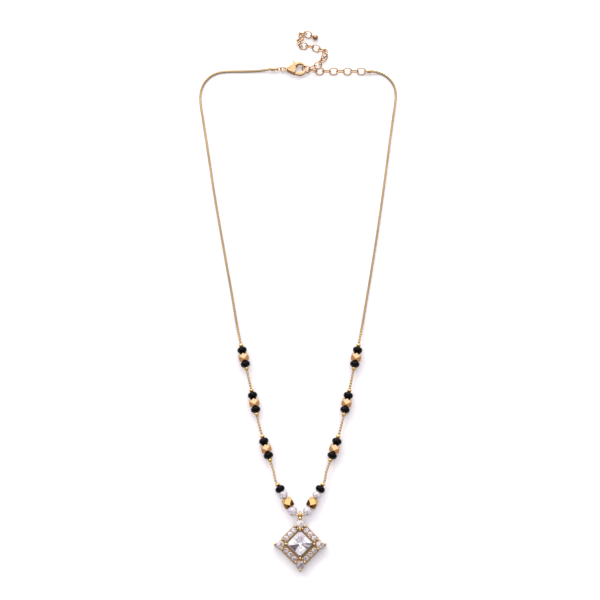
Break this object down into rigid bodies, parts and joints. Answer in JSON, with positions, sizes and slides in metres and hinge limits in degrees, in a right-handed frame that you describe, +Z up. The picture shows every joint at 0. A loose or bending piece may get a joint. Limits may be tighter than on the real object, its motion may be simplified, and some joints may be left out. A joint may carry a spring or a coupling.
{
  "type": "mangalsutra",
  "caption": "Mangalsutra necklace laid flat: fine box chain with black and faceted gold beads, a square stone pendant, a lobster clasp and a cable extender.",
  "frame": {"origin": "bottom centre of the bounding box, on the table that the necklace lies on", "axes": "+Z up from the table; +Y from the pendant towards the clasp behind the neck; +X to the right, seen from above with the pendant nearest"},
  "size_m": [0.0866, 0.2371, 0.0042],
  "materials": {
    "gold": "polished yellow gold plating",
    "rose_gold": "polished rose gold plating",
    "black_bead": "smooth glossy black glass",
    "crystal": "clear cut crystal",
    "stone": "clear faceted stone, cut and polished"
  },
  "bodies": {
    "necklace": {"box_chain_left": "gold", "box_chain_right": "gold", "bead_wire": "rose_gold", "crimps_left": "gold", "crimps_right": "gold", "black_bead_left_1a": "black_bead", "black_bead_left_1b": "black_bead", "black_bead_left_2a": "black_bead", "black_bead_left_2b": "black_bead", "black_bead_left_3a": "black_bead", "black_bead_left_3b": "black_bead", "black_bead_left_4": "black_bead", "black_bead_right_1a": "black_bead", "black_bead_right_1b": "black_bead", "black_bead_right_2a": "black_bead", "black_bead_right_2b": "black_bead", "black_bead_right_3a": "black_bead", "black_bead_right_3b": "black_bead", "black_bead_right_4": "black_bead", "gold_nugget_left_1": "gold", "gold_nugget_left_2": "gold", "gold_nugget_left_3": "gold", "gold_nugget_right_1": "gold", "gold_nugget_right_2": "gold", "gold_nugget_right_3": "gold", "large_nugget_left": "gold", "large_nugget_right": "gold", "crystal_bead_left_upper": "crystal", "crystal_bead_left_lower": "crystal", "crystal_bead_right_upper": "crystal", "crystal_bead_right_lower": "crystal", "pendant_setting": "gold", "centre_stone": "stone", "side_stones": "stone", "corner_stone_top": "stone", "corner_stone_left": "stone", "corner_stone_bottom": "stone", "corner_stone_right": "stone", "chain_cap_left": "gold", "chain_cap_right": "gold", "oval_ring": "rose_gold", "round_ring": "rose_gold", "clasp_body": "gold", "clasp_rivet": "gold", "extender_chain": "rose_gold", "extender_drop": "rose_gold"},
    "lever": {"clasp_lever": "gold"}
  },
  "joints": [
    {"name": "clasp_lever_hinge", "type": "hinge", "parent": "necklace", "child": "lever", "pos_m": [-0.0037, 0.09875, 0.0013], "axis": [0, 0, 1], "range_deg": [0, 25], "stiffness_Nm_per_rad": 0.001}
  ]
}
